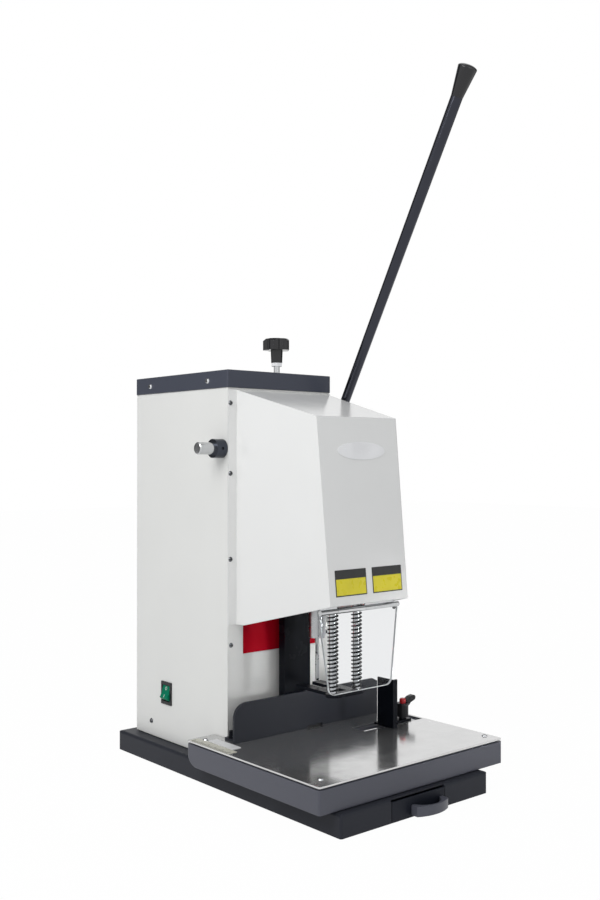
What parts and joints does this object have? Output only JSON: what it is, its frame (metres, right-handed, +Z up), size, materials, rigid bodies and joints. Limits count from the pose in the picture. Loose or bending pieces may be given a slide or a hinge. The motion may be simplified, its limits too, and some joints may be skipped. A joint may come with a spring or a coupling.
{
  "type": "paper drill",
  "caption": "Bench paper drill: hand lever and rack feed, sprung press foot, sheet-metal hood, clear guard, steel table with fence.",
  "frame": {"origin": "centre of the base pan's underside, on the surface it stands on", "axes": "+X to the operator's right, +Y to the rear, +Z up; Y = 0 is the cabinet's front"},
  "size_m": [0.3174, 0.499, 0.9167],
  "materials": {
    "dark_paint": "dark grey powder coat, satin",
    "white_paint": "white powder coat",
    "hood_paint": "gloss white paint",
    "cap_paint": "dark blue-grey powder coat",
    "black_paint": "black satin paint",
    "red_paint": "red paint",
    "table_steel": "polished stainless sheet",
    "bright_steel": "bright turned steel",
    "plain_steel": "plain steel",
    "screw_steel": "bright zinc",
    "gear_steel": "cut steel, oiled",
    "bronze": "sintered bronze",
    "motor_iron": "painted casting",
    "pulley_alloy": "turned",
    "black_plastic": "black, fine grain",
    "switch_green": "translucent green",
    "button_red": "red",
    "rubber_mat": "black sheet rubber",
    "belt_rubber": "black belt",
    "clear_sheet": "clear polycarbonate sheet",
    "scale_white": "matt, blank"
  },
  "bodies": {
    "frame": {"base_pan": "dark_paint", "base_mat": "rubber_mat", "table_skirt": "dark_paint", "table_top": "table_steel", "table_screws": "screw_steel", "scale_plate": "scale_white", "fence_screws": "black_paint", "cabinet_shell": "white_paint", "front_panel": "white_paint", "rear_panel": "white_paint", "back_plate": "red_paint", "cabinet_screws": "screw_steel", "cap": "cap_paint", "cap_screws": "screw_steel", "switch_bezel": "black_plastic", "power_inlet": "black_plastic", "column": "black_paint", "column_blocks": "black_paint", "hood": "hood_paint", "hood_screws": "screw_steel", "guard_rod": "bright_steel", "guard_brackets": "bright_steel", "shaft_bushes": "bronze", "motor": "motor_iron", "motor_bracket": "plain_steel", "pulley_bracket": "dark_paint", "drive_belt": "belt_rubber"},
    "drawer": {"chip_drawer": "dark_paint", "drawer_pull": "dark_paint"},
    "fence_bar": {"fence": "dark_paint"},
    "guide": {"side_guide": "black_paint", "guide_slide": "plain_steel", "clamp_stud": "plain_steel"},
    "clamp": {"clamp_hub": "black_plastic", "clamp_arm": "black_plastic"},
    "clamp_release": {"clamp_button": "button_red"},
    "rocker": {"switch_rocker": "switch_green"},
    "depth_stop": {"depth_knob": "black_plastic", "knob_stud": "bright_steel", "knob_nut": "screw_steel"},
    "shield": {"guard": "clear_sheet"},
    "lever": {"feed_shaft": "bright_steel", "shaft_collar": "plain_steel", "lever_hub": "plain_steel", "lever_rod": "bright_steel", "lever_grip": "black_plastic", "pinion": "gear_steel"},
    "head": {"carriage": "dark_paint", "rack": "gear_steel", "spindle_bearings": "plain_steel", "spring_left": "plain_steel", "spring_right": "plain_steel"},
    "spindle_set": {"spindle": "bright_steel", "chuck": "plain_steel", "drill_bit": "bright_steel"},
    "foot": {"press_foot": "black_paint", "guide_posts": "bright_steel", "post_nuts": "screw_steel"},
    "motor_rotor": {"motor_pulley": "pulley_alloy"},
    "pulley": {"spindle_pulley": "pulley_alloy"}
  },
  "joints": [
    {"name": "head_slide", "type": "slide", "parent": "frame", "child": "head", "axis": [0, 0, -1], "range_m": [0, 0.0707], "stiffness_N_per_m": 500, "springref_m": -0.16},
    {"name": "lever_swing", "type": "hinge", "parent": "frame", "child": "lever", "pos_m": [0, 0.012, 0.4375], "axis": [1, 0, 0], "range_deg": [0, 90.2]},
    {"name": "foot_press", "type": "slide", "parent": "head", "child": "foot", "axis": [0, 0, 1], "range_m": [0, 0.01], "stiffness_N_per_m": 800, "springref_m": -0.01, "deforming": ["spring_left", "spring_right"]},
    {"name": "pulley_spin", "type": "hinge", "parent": "frame", "child": "pulley", "pos_m": [-0.005, -0.062, 0.401], "axis": [0, 0, 1], "continuous": true},
    {"name": "spindle_spin", "type": "hinge", "parent": "head", "child": "spindle_set", "pos_m": [-0.005, -0.062, 0.3], "axis": [0, 0, 1], "continuous": true},
    {"name": "motor_spin", "type": "hinge", "parent": "frame", "child": "motor_rotor", "pos_m": [-0.005, 0.12, 0.38], "axis": [0, 0, 1], "continuous": true},
    {"name": "guard_swing", "type": "hinge", "parent": "frame", "child": "shield", "pos_m": [0, -0.1365, 0.2342], "axis": [-1, 0, 0], "range_deg": [0, 85]},
    {"name": "fence_adjust", "type": "slide", "parent": "frame", "child": "fence_bar", "axis": [0, -1, 0], "range_m": [0, 0.006]},
    {"name": "guide_travel", "type": "slide", "parent": "frame", "child": "guide", "axis": [1, 0, 0], "range_m": [-0.03, 0.012]},
    {"name": "clamp_turn", "type": "hinge", "parent": "guide", "child": "clamp", "pos_m": [0.1378, -0.0798, 0.07], "axis": [0, 0, 1], "range_deg": [0, 120]},
    {"name": "clamp_button_press", "type": "slide", "parent": "clamp", "child": "clamp_release", "axis": [0, 0, -1], "range_m": [0, 0.002], "stiffness_N_per_m": 300, "springref_m": -0.002},
    {"name": "rocker_tilt", "type": "hinge", "parent": "frame", "child": "rocker", "pos_m": [-0.10275, 0.1431, 0.09475], "axis": [0, -1, 0], "range_deg": [0, 20]},
    {"name": "depth_knob_turn", "type": "hinge", "parent": "frame", "child": "depth_stop", "pos_m": [-0.017, 0.008, 0.57], "axis": [0, 0, 1], "continuous": true},
    {"name": "drawer_slide", "type": "slide", "parent": "frame", "child": "drawer", "axis": [0, -1, 0], "range_m": [0, 0.12]}
  ],
  "couplings": [
    {"joint": "lever_swing", "follows": "head_slide", "rad_per_m": 22.222},
    {"joint": "foot_press", "follows": "head_slide", "ratio": 0.1414},
    {"joint": "spindle_spin", "follows": "pulley_spin", "ratio": 1},
    {"joint": "motor_spin", "follows": "pulley_spin", "ratio": 1}
  ]
}
